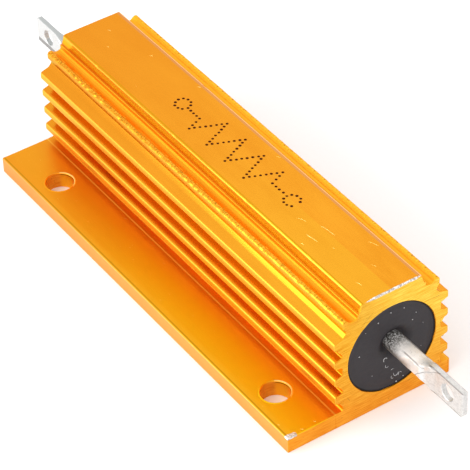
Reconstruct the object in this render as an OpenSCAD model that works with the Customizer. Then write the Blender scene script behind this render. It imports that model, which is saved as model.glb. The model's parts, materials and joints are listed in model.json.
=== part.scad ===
// Aluminium housed power resistor, chassis mounted, wirewound.
// A wire is wound on a ceramic core between two pressed caps. A terminal is welded to each cap.
// The wound core is potted in the bore of a finned extrusion, and resin seals both ends.
// Units are millimetres. X runs along the body, +X to the near end. Z is up from the chassis.
// The mounting flange stands out to -Y only.

/* [Body] */
// length of the extrusion, saw cut at both ends
body_l = 90; // [84:1:130]
// height of the flat top land above the chassis
body_h = 24.05; // [23.4:0.05:25]
// half width of the flat top land, with its rounded edge
land_half = 6.05; // [5.8:0.05:6.3]
// half width at the foot of the grooves between the fins
root_half = 9.83; // [9.7:0.01:10.2]
// half width over the tips of the side fins
fin_half = 11.3; // [11.2:0.05:12]

/* [Flange and foot] */
// thickness of the foot and flange
flange_t = 3.1; // [2.4:0.1:3.3]
// how far the flange reaches from the bore's centre plane
flange_reach = 20.75; // [19.6:0.05:26]
// how far the plain side of the foot reaches from the same plane
foot_reach = 11.67; // [11:0.01:13]

/* [Mounting holes] */
// diameter of the two drilled holes
hole_d = 5.1; // [3.2:0.1:5.6]
// distance of both holes from the bore's centre plane
hole_reach = 16; // [15.2:0.1:16.4]
// near hole's centre from the near end
near_inset = 10.2; // [6:0.1:20]
// far hole's centre from the far end
far_inset = 12.3; // [6:0.1:20]

/* [Bore] */
// bore for the resistor element
bore_d = 17.4; // [14:0.1:17.6]
// height of the bore's centre above the chassis
bore_z = 11.85; // [11.8:0.05:12]

/* [Side fins] */
// number of full fins on each side
fin_count = 4; // [2:1:4]
// spacing of the fins
fin_pitch = 3.8; // [3.8:0.05:3.9]
// height of the lowest fin's middle
fin_low_z = 5.95; // [5.6:0.05:6]
// flank angle of a fin
fin_flank = 16; // [8:1:20]
// flat part of a fin's tip
fin_flat = 0.75; // [0.5:0.05:0.8]
// rounding of a fin's tip
fin_round = 0.47; // [0.3:0.01:0.48]

/* [Wound element] */
// ceramic core
core_d = 9; // [8:0.1:10]
core_l = 64; // [50:1:70]
// wall of the pressed end caps
cap_wall = 0.7; // [0.4:0.05:0.9]
// how far a cap reaches over the core
cap_grip = 5; // [3:0.5:8]
// resistance wire
wire_d = 0.6; // [0.3:0.05:0.7]
wire_turns = 28; // [16:1:36]
// depth of the resin seal in each end
seal_depth = 6; // [3:0.5:8]
// how far the resin stays below the saw cut
seal_recess = 0.25; // [0:0.05:1]
// depth of the sunken ring round each rod
dimple_depth = 0.7; // [0.2:0.1:1.5]

/* [Terminals] */
// round rod of a terminal
rod_d = 3.55; // [3:0.05:4]
// the rod is pressed flat to this thickness and height
blade_t = 1; // [0.8:0.1:1.5]
blade_h = 5.3; // [4.5:0.1:6]
// reach of each blade's tip past the body
near_reach = 18.1; // [17:0.1:24]
far_reach = 20; // [17:0.1:24]
// length of the flat, and of the pressed run-out before it
flat_l = 7.4; // [6:0.1:9]
runout_l = 3; // [2:0.1:4]
// eyelet in the flat, and its centre from the tip
eyelet_d = 3; // [2:0.1:3.4]
eyelet_inset = 4; // [3:0.1:5]
// how far the near rod sits off the bore's centre, across and up
near_off_y = 0.8; // [-1:0.05:1]
near_off_z = 0.4; // [-1:0.05:1]
// the same for the far rod
far_off_y = 0; // [-1:0.05:1]
far_off_z = -0.35; // [-1:0.05:1]

/* [Hidden] */
eps = 0.01;                        // overshoot of a cutting tool
half_l = body_l / 2;
cap_base = 1;                      // thickness of a cap's closed end
cap_face = core_l / 2 + cap_base;  // where a rod is welded on
cap_d = core_d + 2 * cap_wall;
rod_r = rod_d / 2;
holes = [[half_l - near_inset, -hole_reach], [far_inset - half_l, -hole_reach]];

gold = [0.96, 0.60, 0.13];
resin = [0.14, 0.13, 0.14];
tinned = [0.80, 0.80, 0.78];
ceramic = [0.92, 0.90, 0.84];
alloy = [0.50, 0.47, 0.44];
cement = [0.62, 0.60, 0.56];

// ---- 2D helpers ---------------------------------------------------------------------------

// points of a round stretch from angle a0 to a1
function arc(c, r, a0, a1, n = 6) =
    [for (i = [0:n]) let (a = a0 + (a1 - a0) * i / n) [c[0] + r * cos(a), c[1] + r * sin(a)]];

function mirrored(points) = [for (p = points) [-p[0], p[1]]];
function reversed(points) = [for (i = [len(points) - 1:-1:0]) points[i]];

// smooth step from 0 to 1
function ease(t) = (1 - cos(180 * t)) / 2;

// ---- section of the extrusion, right hand side, from the land down -----------------------------

tip_c = fin_half - fin_round;      // centre of the rounding at a fin's tip
root_r = 0.25;                     // rounding at the foot of a groove
// half thickness of a fin where it meets the root
fin_foot = fin_flat / 2 + fin_round / cos(fin_flank) + (tip_c - root_half) * tan(fin_flank);

// one fin with its middle at height z, from its upper foot to its lower foot
function fin(z) = concat(
    arc([root_half + root_r, z + fin_foot + root_r * 0.75], root_r, 180, 270 - fin_flank, 3),
    arc([tip_c, z + fin_flat / 2], fin_round, 90 - fin_flank, 0, 5),
    arc([tip_c, z - fin_flat / 2], fin_round, 0, fin_flank - 90, 5),
    arc([root_half + root_r, z - fin_foot - root_r * 0.75], root_r, 90 + fin_flank, 180, 3));

// the land's rounded edge, its side wall with a small lip, and the hollow beside it
land_edge_r = 0.45;
hollow_c = [land_half + 1.4, body_h - 2.05];
land_side = concat(
    arc([land_half - land_edge_r, body_h - land_edge_r], land_edge_r, 90, 0, 5),
    [[land_half + 0.25, body_h - 1.95], [land_half + 0.42, body_h - 2.08]],
    arc(hollow_c, 0.88, 205, 300, 7));

// the short top fin, which turns up, with a deep round neck under it
top_fin_c = [root_half - 0.88, body_h - 2.8];
neck_c = [root_half, body_h - 4.65];
top_fin = concat(
    arc(top_fin_c, 0.6, 115, 0, 6),
    arc([root_half - 0.68, body_h - 3.43], 0.4, 0, -35, 3),
    arc(neck_c, 0.85, 128, 250, 8));

first_z = fin_low_z + (fin_count - 1) * fin_pitch;
// the first fin's upper flank runs straight out of the neck, so its own upper foot is left out
first_fin = [for (p = fin(first_z)) if (p[0] > root_half + 0.6 || p[1] < first_z) p];
other_fins = [for (k = [1:fin_count - 1]) each fin(first_z - k * fin_pitch)];

foot_fillet = arc([root_half + 0.4, flange_t + 0.4], 0.4, 180, 270, 4);

half_section = concat(land_side, top_fin, first_fin, other_fins, foot_fillet);

// the end of the foot or flange, with lightly broken edges
function foot_end(reach) = concat(
    arc([reach - 0.2, flange_t - 0.2], 0.2, 90, 0, 2),
    arc([reach - 0.15, 0.15], 0.15, 0, -90, 2));

section = concat(
    half_section, foot_end(foot_reach),
    reversed(mirrored(foot_end(flange_reach))), reversed(mirrored(half_section)));

// ---- helpers in 3D ------------------------------------------------------------------------------

// lays a 2D drawing in the YZ plane and extrudes it along X, centred
module along_x(length) {
    rotate([90, 0, 90]) linear_extrude(height = length, center = true) children();
}

// round bar along X from x0 to x1
module bar(x0, x1, d, facets = 72) {
    translate([x0, 0, 0]) rotate([0, 90, 0]) cylinder(d = d, h = x1 - x0, $fn = facets);
}

// moves an item to the bore's axis; the far end is the near end turned round
module in_bore(far = false) {
    translate([0, 0, bore_z]) rotate([0, 0, far ? 180 : 0]) children();
}

// ---- sub-parts ----------------------------------------------------------------------------------

// one aluminium extrusion, bored through, drilled twice through its flange
module housing() {
    color(gold) difference() {
        along_x(body_l) polygon(section);
        in_bore() bar(-half_l - 1, half_l + 1, bore_d, 96);
        for (h = holes) translate([h[0], h[1], -1]) cylinder(d = hole_d, h = flange_t + 2, $fn = 48);
    }
}

module ceramic_core() {
    color(ceramic) in_bore() bar(-core_l / 2, core_l / 2, core_d);
}

// cross-section corners of the wire, and points along each turn
wire_sides = 6;
wire_steps = 18;
// the wire's centre line, drawn so that its straight chords still lie on the core
coil_r = (core_d / 2 + wire_d / 2 + eps) / cos(180 / wire_steps);
coil_l = core_l - 2 * cap_grip - wire_d;

// corner j of the wire at point i of the helix
function wire_point(i, j) =
    let (t = i / (wire_turns * wire_steps), turn = 360 * i / wire_steps, q = 360 * j / wire_sides,
         r = coil_r + wire_d / 2 * cos(q))
    [coil_l * (t - 0.5) + wire_d / 2 * sin(q), r * cos(turn), r * sin(turn)];

module resistance_winding() {
    n = wire_turns * wire_steps;
    points = [for (i = [0:n]) for (j = [0:wire_sides - 1]) wire_point(i, j)];
    walls = [for (i = [0:n - 1]) for (j = [0:wire_sides - 1])
        let (k = (j + 1) % wire_sides, a = i * wire_sides)
        [a + j, a + wire_sides + j, a + wire_sides + k, a + k]];
    start = [for (j = [0:wire_sides - 1]) j];
    end = [for (j = [wire_sides - 1:-1:0]) n * wire_sides + j];
    color(alloy) in_bore() polyhedron(points, concat(walls, [start, end]), convexity = 20);
}

// pressed cap: a closed cup over the core's end
module end_cap() {
    difference() {
        bar(core_l / 2 - cap_grip, cap_face, cap_d);
        bar(core_l / 2 - cap_grip - 1, core_l / 2, core_d);
    }
}

module end_cap_near() { color(tinned) in_bore() end_cap(); }
module end_cap_far() { color(tinned) in_bore(true) end_cap(); }

// terminal: a round rod whose end is pressed into an upright flat with an eyelet
module terminal(reach) {
    tip = half_l + reach;
    flat_x = tip - flat_l;
    start_x = flat_x - runout_l;
    steps = 6;
    corner = 1;
    // seen from the side: the pressed metal spreads up and down
    side = concat(
        [for (i = [0:steps]) [start_x + runout_l * i / steps,
                              0.74 + (blade_h / 2 - 0.74) * ease(i / steps)]],
        arc([tip - corner, blade_h / 2 - corner], corner, 90, 0, 4));
    // seen from above: it gets thinner
    plan = concat(
        [for (i = [0:steps]) [start_x + runout_l * i / steps,
                              rod_r * 0.9 + (blade_t / 2 - rod_r * 0.9) * ease(i / steps)]],
        [[tip - 0.25, blade_t / 2], [tip, blade_t / 2 - 0.15]]);
    bar(cap_face, start_x + 1.1, rod_d, 48);
    difference() {
        intersection() {
            rotate([90, 0, 0]) linear_extrude(height = 2 * blade_h, center = true)
                polygon(concat(side, reversed([for (p = side) [p[0], -p[1]]])));
            linear_extrude(height = 2 * blade_h, center = true)
                polygon(concat(plan, reversed([for (p = plan) [p[0], -p[1]]])));
        }
        translate([tip - eyelet_inset, 0, 0]) rotate([90, 0, 0])
            cylinder(d = eyelet_d, h = 3 * rod_d, center = true, $fn = 36);
    }
}

module terminal_near() {
    color(tinned) in_bore() translate([0, near_off_y, near_off_z]) terminal(near_reach);
}
module terminal_far() {
    color(tinned) in_bore(true) translate([0, -far_off_y, far_off_z]) terminal(far_reach);
}

// resin poured into the bore's mouth; as it set it sank a little round the rod
module end_seal(off_y, off_z) {
    face = half_l - seal_recess;
    difference() {
        bar(face - seal_depth, face, bore_d, 96);
        translate([0, off_y, off_z]) {
            bar(face - seal_depth - 1, face + 2, rod_d, 48);
            translate([face - dimple_depth, 0, 0]) rotate([0, 90, 0])
                cylinder(r1 = rod_r + 0.3, r2 = rod_r + 1.7, h = dimple_depth + eps, $fn = 48);
        }
    }
}

module end_seal_near() { color(resin) in_bore() end_seal(near_off_y, near_off_z); }
module end_seal_far() { color(resin) in_bore(true) end_seal(-far_off_y, far_off_z); }

// potting between the wound core and the bore, cast round the caps and rods
module potting_fill() {
    fill_half = half_l - seal_recess - seal_depth;
    color(cement) difference() {
        in_bore() bar(-fill_half, fill_half, bore_d, 96);
        in_bore() bar(-cap_face, cap_face, cap_d);
        in_bore() translate([0, near_off_y, near_off_z]) bar(cap_face - 1, half_l, rod_d, 48);
        in_bore(true) translate([0, -far_off_y, far_off_z]) bar(cap_face - 1, half_l, rod_d, 48);
    }
}

housing();
ceramic_core();
resistance_winding();
end_cap_near();
end_cap_far();
terminal_near();
terminal_far();
end_seal_near();
end_seal_far();
potting_fill();
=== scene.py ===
# %% [markdown]
# A power resistor in a finned aluminium housing, made up for display. The
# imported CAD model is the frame: it says where every part sits, and nothing
# here moves it.

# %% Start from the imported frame
import json
import math
import random

import bmesh
import bpy
from mathutils import Matrix, Vector, noise


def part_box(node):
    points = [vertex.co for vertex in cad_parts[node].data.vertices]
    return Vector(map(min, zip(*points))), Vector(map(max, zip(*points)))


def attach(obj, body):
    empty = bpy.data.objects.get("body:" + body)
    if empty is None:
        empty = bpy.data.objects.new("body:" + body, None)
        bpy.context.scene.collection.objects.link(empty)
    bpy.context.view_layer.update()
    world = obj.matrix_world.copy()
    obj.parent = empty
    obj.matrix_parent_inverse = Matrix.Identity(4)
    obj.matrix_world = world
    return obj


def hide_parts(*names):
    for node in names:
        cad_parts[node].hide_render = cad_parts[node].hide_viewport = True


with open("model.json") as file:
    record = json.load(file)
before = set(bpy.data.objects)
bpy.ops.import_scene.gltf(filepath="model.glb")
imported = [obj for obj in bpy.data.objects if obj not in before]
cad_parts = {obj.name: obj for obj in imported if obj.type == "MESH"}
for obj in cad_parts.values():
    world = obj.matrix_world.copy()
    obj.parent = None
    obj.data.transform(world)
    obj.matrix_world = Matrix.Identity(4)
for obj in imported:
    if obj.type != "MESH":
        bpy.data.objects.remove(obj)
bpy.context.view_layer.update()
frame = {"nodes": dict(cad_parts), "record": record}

# %% [markdown]
# Blender works in metres and a maker thinks in millimetres. This cell keeps
# every number below in millimetres, and reads the main sizes from the frame,
# so the new pieces land exactly on the solids they stand for.

# %% Millimetres, and the sizes the frame gives
MM = 0.001


def box_mm(node):
    low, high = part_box(node)
    return Vector(low) / MM, Vector(high) / MM


body_low, body_high = box_mm("housing")
body_half = body_high.x                 # the sawn ends are at +body_half and -body_half
body_top = body_high.z
seal_low, seal_high = box_mm("end_seal_near")
bore_r = (seal_high.y - seal_low.y) / 2
bore_z = (seal_high.z + seal_low.z) / 2
near_low, near_high = box_mm("terminal_near")
far_low, far_high = box_mm("terminal_far")
near_y, near_z = (near_low.y + near_high.y) / 2, (near_low.z + near_high.z) / 2
far_y, far_z = (far_low.y + far_high.y) / 2, (far_low.z + far_high.z) / 2
rod_r = (near_high.y - near_low.y) / 2
mount = next(m for m in frame["record"]["mounts"] if m["name"] == "mounting_holes")
hole_r, hole_y = mount["dims"]["hole_r_mm"], mount["pos_m"][1] / MM
hole_xs = [mount["pos_m"][0] / MM + side * mount["dims"]["spacing_x_mm"] / 2 for side in (1, -1)]
print("rods at", [round(v, 2) for v in (near_y, near_z, far_y, far_z)],
      "radius", round(rod_r, 3), "holes at", [round(x, 2) for x in hole_xs])
print("body", round(body_half * 2, 2), "x", round(body_top, 2), "bore radius", round(bore_r, 2))

# %% [markdown]
# The camera comes first, because it decides how much detail is worth making.
# It stands high on the near right of the body and looks along the length with
# a long lens, tipped a little to one side, so parallel edges stay parallel.

# %% Camera
eye = Vector((309.81, -195.81, 312.91))
sight = Vector((-0.64739, 0.40850, -0.64343)).normalized()
across = Vector((0.55997, 0.82764, -0.03796))
above = across.cross(sight).normalized()
across = sight.cross(above).normalized()

lens = bpy.data.cameras.new("long_lens")
lens.lens, lens.sensor_width = 212.6, 36
lens.clip_start, lens.clip_end = 0.01, 20
camera = bpy.data.objects.new("camera", lens)
turn = Matrix((across, above, -sight)).transposed().to_4x4()
camera.matrix_world = Matrix.Translation(eye * MM) @ turn
bpy.context.scene.collection.objects.link(camera)
bpy.context.scene.camera = camera
print("camera azimuth", round(math.degrees(math.atan2(-sight.x, sight.y)), 1),
      "elevation", round(math.degrees(math.asin(-sight.z)), 1))

# %% [markdown]
# Shader maths reads best as plain Python. A Wire holds one output socket and
# turns + - * and abs() into Math nodes, also when the number comes first, as
# in 1 - mask. A Finish is one node tree, and its add() makes any other node:
# the settings first, then the values or wires that go into its sockets.

# %% Wires and finishes
class Wire:
    def __init__(self, finish, socket):
        self.finish, self.socket = finish, socket

    def _maths(self, operation, *terms):
        return self.finish.add("ShaderNodeMath", {"operation": operation}, dict(enumerate(terms)))

    def __add__(self, other):
        return self._maths("ADD", self, other)

    def __radd__(self, other):
        return self._maths("ADD", other, self)

    def __sub__(self, other):
        return self._maths("SUBTRACT", self, other)

    def __rsub__(self, other):
        return self._maths("SUBTRACT", other, self)

    def __mul__(self, other):
        return self._maths("MULTIPLY", self, other)

    def __rmul__(self, other):
        return self._maths("MULTIPLY", other, self)

    def __neg__(self):
        return 0.0 - self

    def __abs__(self):
        return self._maths("ABSOLUTE", self)


class Finish:
    def __init__(self, tree):
        self.tree = tree
        tree.nodes.clear()

    def add(self, kind, settings=None, sockets=None, out=0):
        node = self.tree.nodes.new(kind)
        for name, value in (settings or {}).items():
            setattr(node, name, value)
        for name, value in (sockets or {}).items():
            socket = self._find(node.inputs, name)
            if isinstance(value, Wire):
                self.tree.links.new(value.socket, socket)
            else:
                socket.default_value = value
        return Wire(self, self._find(node.outputs, out)) if len(node.outputs) else None

    @staticmethod
    def _find(sockets, name):
        if isinstance(name, int):
            return sockets[name]
        return next(s for s in sockets if name in (s.identifier, s.name))


print("wires and finishes ready")

# %% [markdown]
# A finish is mostly masks, numbers from 0 to 1 that say where something is.
# They start from the place on the object in millimetres. step() is a soft
# rise from 0 to 1, fade() the reverse, between() a rise and then a fall, and
# band() the same with one softness. distance() is measured from an axis.

# %% Masks from the place on the object
def place_mm(finish):
    where = finish.add("ShaderNodeTexCoord", out="Object")
    return finish.add("ShaderNodeVectorMath", {"operation": "SCALE"}, {0: where, "Scale": 1 / MM})


def split(vector):
    node = vector.finish.add("ShaderNodeSeparateXYZ", {}, {0: vector}).socket.node
    return [Wire(vector.finish, output) for output in node.outputs]


def step(value, low, high):
    return value.finish.add("ShaderNodeMapRange", {"interpolation_type": "SMOOTHSTEP", "clamp": True},
                            {"Value": value, 1: low, 2: high, 3: 0.0, 4: 1.0})


def fade(value, low, high):
    return 1 - step(value, low, high)


def between(value, rise_from, rise_to, fall_from, fall_to):
    return step(value, rise_from, rise_to) * fade(value, fall_from, fall_to)


def band(value, low, high, soft=0.06):
    return between(value, low - soft, low + soft, high - soft, high + soft)


def distance(first, second):
    square = first * first + second * second
    return square.finish.add("ShaderNodeMath", {"operation": "SQRT"}, {0: square})


print("masks ready")

# %% [markdown]
# The other recipes that the finishes share: a cloud of noise whose grain can
# be drawn out along one axis, a mix of two colours by a mask, coats of tint
# laid one over another, and the end of every finish, its bump and shader.

# %% Grain, coats and the end of a finish
def grain(place, stretch, detail=3.0, rough=0.55):
    """Noise from 0 to 1 with stretch waves a millimetre along x, y and z."""
    drawn = place.finish.add("ShaderNodeVectorMath", {"operation": "MULTIPLY"}, {0: place, 1: stretch})
    return place.finish.add("ShaderNodeTexNoise", {"noise_dimensions": "3D"},
                            {"Vector": drawn, "Scale": 1.0, "Detail": detail, "Roughness": rough})


def blend_colours(mask, below, over):
    def colour(c):
        return c if isinstance(c, Wire) else (*c, 1)
    return mask.finish.add("ShaderNodeMix", {"data_type": "RGBA", "clamp_factor": True},
                           {"Factor_Float": mask, "A_Color": colour(below), "B_Color": colour(over)},
                           out="Result_Color")


def coat(colour, *layers):
    """Lays (mask, tint) layers over a colour, the last one on top."""
    for mask, tint in layers:
        colour = blend_colours(mask, colour, tint)
    return colour


def new_finish(name):
    material = bpy.data.materials.new(name)
    material.use_nodes = True
    return material, Finish(material.node_tree)


def close(finish, sockets, bump=None, strength=0.3, depth_mm=0.05):
    """Ends a finish: an optional bump, the surface shader and the output."""
    if bump is not None:
        relief = {"Strength": strength, "Distance": depth_mm * MM, "Height": bump}
        sockets = {**sockets, "Normal": finish.add("ShaderNodeBump", {}, relief)}
    surface = finish.add("ShaderNodeBsdfPrincipled", {}, sockets)
    finish.add("ShaderNodeOutputMaterial", {}, {"Surface": surface})


print("recipes ready")

# %% [markdown]
# The studio is a white light tent, bright all round. Polished metal shows only
# what it mirrors, so a rectangular panel also stands on the side of the
# mounting flange. It is the real paint brush here: it draws the long gleam
# along every fin, where a lamp would only make a spot.

# %% Light tent and panel
tent = bpy.data.worlds.new("light_tent")
tent.use_nodes = True
sky = Finish(tent.node_tree)
height = split(sky.add("ShaderNodeTexCoord", out="Generated"))[2]
glow = 1.20 + 0.06 * height
light = sky.add("ShaderNodeBackground", {}, {"Color": (1.0, 0.995, 0.985, 1), "Strength": glow})
sky.add("ShaderNodeOutputWorld", {}, {"Surface": light})
bpy.context.scene.world = tent

panel_glow = 2.6                        # how bright the panel looks, beside 1.2 for the tent
panel = bpy.data.lights.new("flange_side_panel", "AREA")
panel.shape, panel.size, panel.size_y = "RECTANGLE", 0.48, 0.36
panel.energy = panel_glow * math.pi * panel.size * panel.size_y
panel_stand = bpy.data.objects.new("flange_side_panel", panel)
panel_stand.location = (-0.03, -0.32, 0.17)
panel_stand.rotation_euler = (math.radians(90), 0, 0)
bpy.context.scene.collection.objects.link(panel_stand)

view = bpy.context.scene.view_settings
view.view_transform, view.look = "Standard", "None"
view.exposure, view.gamma = 0.0, 1.0
print("panel of", round(panel.energy, 2), "watts")

# %% [markdown]
# The table is a wide sheet of matt white paper, a hair below the flat base so
# the two never fight for the same place. It glows a very little, as paper in a
# light tent does, and that keeps the shadow round the part soft and pale.

# %% Pale table
table = bmesh.new()
bmesh.ops.create_grid(table, x_segments=24, y_segments=24, size=3.0)
table_mesh = bpy.data.meshes.new("pale_table")
table.to_mesh(table_mesh)
table.free()
table_top = bpy.data.objects.new("pale_table", table_mesh)
table_top.location.z = -0.00002
bpy.context.scene.collection.objects.link(table_top)

paper, sheet = new_finish("white_paper")
fibre = grain(place_mm(sheet), (1.2, 1.2, 1.2), 2.0)
close(sheet, {"Base Color": blend_colours(fibre, (0.85, 0.845, 0.85), (0.87, 0.865, 0.87)),
              "Roughness": 0.9, "Specular IOR Level": 0.2,
              "Emission Color": (1.0, 0.995, 0.985, 1), "Emission Strength": 0.05})
table_mesh.materials.append(paper)
print("table of", len(table_mesh.polygons), "squares")

# %% [markdown]
# Almost every piece here is a loop of points carried along a line. sweep()
# joins such loops into a skin, and finish_piece() turns it into an object
# that rides on the body, takes its slot, and is shaded smooth except where
# two faces meet at a real edge.


def angles(count):
    return [2 * math.pi * i / count for i in range(count)]


def evenly(start, end, count):
    """count values after start, the last of them at end."""
    return [start + (end - start) * i / count for i in range(1, count + 1)]


def sweep(mesh, loops, capped=False):
    """Joins loops of equal length with quads and returns their vertices."""
    rows = [[mesh.verts.new(Vector(p) * MM) for p in loop] for loop in loops]
    for row, following in zip(rows, rows[1:]):
        for i in range(len(row)):
            j = (i + 1) % len(row)
            mesh.faces.new((row[i], row[j], following[j], following[i]))
    if capped:
        mesh.faces.new(rows[0])
        mesh.faces.new(list(reversed(rows[-1])))
    return rows


def shade(data, edge_angle=32):
    data.polygons.foreach_set("use_smooth", [True] * len(data.polygons))
    data.set_sharp_from_angle(angle=math.radians(edge_angle))


def finish_piece(name, mesh, finishes, stands_for=None, edge_angle=32):
    bmesh.ops.remove_doubles(mesh, verts=mesh.verts, dist=1e-7)
    bmesh.ops.recalc_face_normals(mesh, faces=mesh.faces)
    data = bpy.data.meshes.new(name)
    mesh.to_mesh(data)
    mesh.free()
    for material in finishes:
        data.materials.append(material)
    shade(data, edge_angle)
    piece = bpy.data.objects.new(name, data)
    bpy.context.scene.collection.objects.link(piece)
    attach(piece, "root")
    if stands_for:
        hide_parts(stands_for)
    print(name, "has", len(data.polygons), "faces")
    return piece


print("mesh helpers ready")

# %% [markdown]
# Holes are cut the way a drill makes them: turned() spins a profile into a
# round cutter, and carve() takes its volume out of a piece with a boolean.
# The result is written back into the mesh, so no modifier is left on it.

# %% Turning and carving
def turned(mesh, profile, centre, axis, count=48):
    """Spins a profile of (radius, along) points round an axis: a closed skin."""
    axis = Vector(axis)
    side = axis.orthogonal().normalized()
    other = axis.cross(side)
    sweep(mesh, [[Vector(centre) + axis * along + (side * math.cos(a) + other * math.sin(a)) * radius
                  for a in angles(count)] for radius, along in profile], capped=True)


def carve(piece, cutter_mesh):
    """Takes the cutter's volume out of the piece, for good."""
    bmesh.ops.recalc_face_normals(cutter_mesh, faces=cutter_mesh.faces)
    data = bpy.data.meshes.new("cutter")
    cutter_mesh.to_mesh(data)
    cutter_mesh.free()
    cutter = bpy.data.objects.new("cutter", data)
    bpy.context.scene.collection.objects.link(cutter)
    cut = piece.modifiers.new("cut", "BOOLEAN")
    cut.operation, cut.solver, cut.object = "DIFFERENCE", "EXACT", cutter
    bpy.context.view_layer.update()
    evaluated = piece.evaluated_get(bpy.context.evaluated_depsgraph_get())
    carved = bpy.data.meshes.new_from_object(evaluated)
    piece.modifiers.clear()
    piece.data = carved
    bpy.data.objects.remove(cutter, do_unlink=True)
    shade(carved)
    print(piece.name, "carved, now", len(carved.polygons), "faces")


print("cutters ready")

# %% [markdown]
# The housing is an aluminium extrusion: hot metal is pressed through a steel
# die, so one section runs the whole length. The section is drawn once as
# (side, height) points for one half, from the flat land on top, through a
# hollow and a small top fin, down four side fins to the foot. The sizes are
# the solid's own; only the arcs have more points and the hollow gets the fine
# ridges that the die drags along the metal.

# %% Arcs and side fins of the section
land_half, root_half, fin_half = 6.05, 9.83, 11.3
flange_t, flange_reach, foot_reach = 3.1, -body_low.y, body_high.y
fin_count, fin_pitch, fin_low_z, fin_flank = 4, 3.8, 5.95, 16.0
fin_flat, fin_round, root_r, land_edge_r = 0.75, 0.47, 0.25, 0.6
flange_fillet, foot_edge_r, sole_edge_r = 0.4, 0.22, 0.15


def arc(centre, radius, start, end, n=6):
    turns = [math.radians(start + (end - start) * i / n) for i in range(n + 1)]
    return [(centre[0] + radius * math.cos(a), centre[1] + radius * math.sin(a)) for a in turns]


tip = fin_half - fin_round
slope = math.radians(fin_flank)
fin_foot = fin_flat / 2 + fin_round / math.cos(slope) + (tip - root_half) * math.tan(slope)


def side_fin(z):
    return (arc((root_half + root_r, z + fin_foot + root_r * 0.75), root_r, 180, 270 - fin_flank, 4)
            + arc((tip, z + fin_flat / 2), fin_round, 90 - fin_flank, 0, 6)
            + arc((tip, z - fin_flat / 2), fin_round, 0, fin_flank - 90, 6)
            + arc((root_half + root_r, z - fin_foot - root_r * 0.75), root_r, 90 + fin_flank, 180, 4))


print("a side fin is", round(2 * fin_foot, 2), "thick at its root, and has", len(side_fin(0)), "points")

# %% [markdown]
# Beside the land the section sinks into a hollow and climbs again to the crest
# of the top fin. The die leaves its floor slightly uneven, so a seeded draw
# moves each point up or down by a few hundredths of a millimetre. Under the
# crest is a round neck, and a small step where it meets the first side fin.

# %% Land, hollow and top fin
die_lines = random.Random(7)
bowl = [(0.71, 2.30), (0.76, 2.50), (0.88, 2.64), (1.02, 2.73), (1.16, 2.78), (1.31, 2.81),
        (1.46, 2.82), (1.61, 2.82), (1.76, 2.81), (1.90, 2.77), (2.04, 2.71), (2.17, 2.64)]
ridged = [(land_half + y, body_top - z + die_lines.uniform(-0.03, 0.03)) for y, z in bowl]
crest_y, crest_z, crest_r = root_half - 0.88, body_top - 2.8, 0.6
crest = arc((crest_y, crest_z), crest_r, 115, 0, 9)
rise = [(ridged[-1][0] + (crest[0][0] - ridged[-1][0]) * t,
         ridged[-1][1] + (crest[0][1] - ridged[-1][1]) * t + die_lines.uniform(-0.022, 0.022))
        for t in (0.2, 0.4, 0.6, 0.8)]
lip_y, lip_z = land_half + 0.55, body_top - 1.99
land_side = (arc((land_half - land_edge_r, body_top - land_edge_r), land_edge_r, 90, 0, 8)
             + [(land_half + 0.16, body_top - 1.15), (land_half + 0.38, body_top - 1.86)]
             + arc((lip_y, lip_z), 0.14, 140, -10, 6))
neck_step = [(9.03, 19.22), (9.10, 19.12), (9.50, 18.70), (9.60, 18.61), (9.75, 18.56)]
top_fin = (crest + arc((root_half - 0.68, body_top - 3.43), 0.4, 0, -35, 3)
           + arc((root_half, body_top - 4.65), 0.85, 128, 184, 6) + neck_step)
print("the hollow has", len(ridged) + len(rise), "points, the top fin", len(top_fin))

# %% [markdown]
# Now the stretches are joined. Both sides share one half outline. One ends in
# a short foot and the other in the long mounting flange, whose top gets extra
# points so that no face of the sawn end is very long and thin.

# %% The whole outline
first_z = fin_low_z + (fin_count - 1) * fin_pitch
land_top = [(land_half * k, body_top) for k in (0.0, 0.3, 0.6, 0.84)]
half_outline = land_top + land_side + ridged + rise + top_fin
half_outline += [p for p in side_fin(first_z) if p[0] > root_half + 0.6 or p[1] < first_z]
for k in range(1, fin_count):
    half_outline += side_fin(first_z - k * fin_pitch)
half_outline += arc((root_half + flange_fillet, flange_t + flange_fillet), flange_fillet, 180, 270, 5)


def foot_end(reach):
    return (arc((reach - foot_edge_r, flange_t - foot_edge_r), foot_edge_r, 90, 0, 3)
            + arc((reach - sole_edge_r, sole_edge_r), sole_edge_r, 0, -90, 3))


flange_from, flange_to = root_half + flange_fillet, flange_reach - foot_edge_r
flange_steps = evenly(flange_from, flange_to, round((flange_to - flange_from) / 1.5))[:-1]
right_side = half_outline + foot_end(foot_reach)
left_side = half_outline + [(y, flange_t) for y in flange_steps] + foot_end(flange_reach)
outline = right_side + [(-y, z) for y, z in reversed(left_side)][:-1]
print("the section has", len(outline), "points")

# %% [markdown]
# Stacking the section along the length makes the body. The sawn ends are not
# perfect: the saw leaves a tiny ragged break on every edge, and handling nicks
# the thin crest of the top fin and the corners. Each nick pushes a few points
# of the mesh inwards, so it catches the light as a real dent does.

# %% Which way is out, and where the sections stand
def outward(points):
    """Unit normals of a closed outline in the (y, z) plane."""
    found = []
    for i in range(len(points)):
        y0, z0 = points[i - 1]
        y1, z1 = points[(i + 1) % len(points)]
        n = Vector((z0 - z1, y1 - y0))
        found.append(n.normalized() if n.length > 1e-9 else Vector((0, 1)))
    return found


normals = outward(outline)
if normals[0].y < 0:
    normals = [-n for n in normals]
soft_normals = []
for i, normal in enumerate(normals):
    total = sum((normals[(i + k) % len(normals)] for k in range(-2, 3)), Vector((0, 0)))
    soft_normals.append(total.normalized() if total.length > 0.5 else normal)
station_pitch = 0.45
inner_stations = evenly(-body_half, body_half, round(2 * body_half / station_pitch))[:-1]
stations = [-body_half, -body_half + 0.20] + inner_stations + [body_half - 0.12, body_half]
print(len(stations), "sections along the body")

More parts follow.
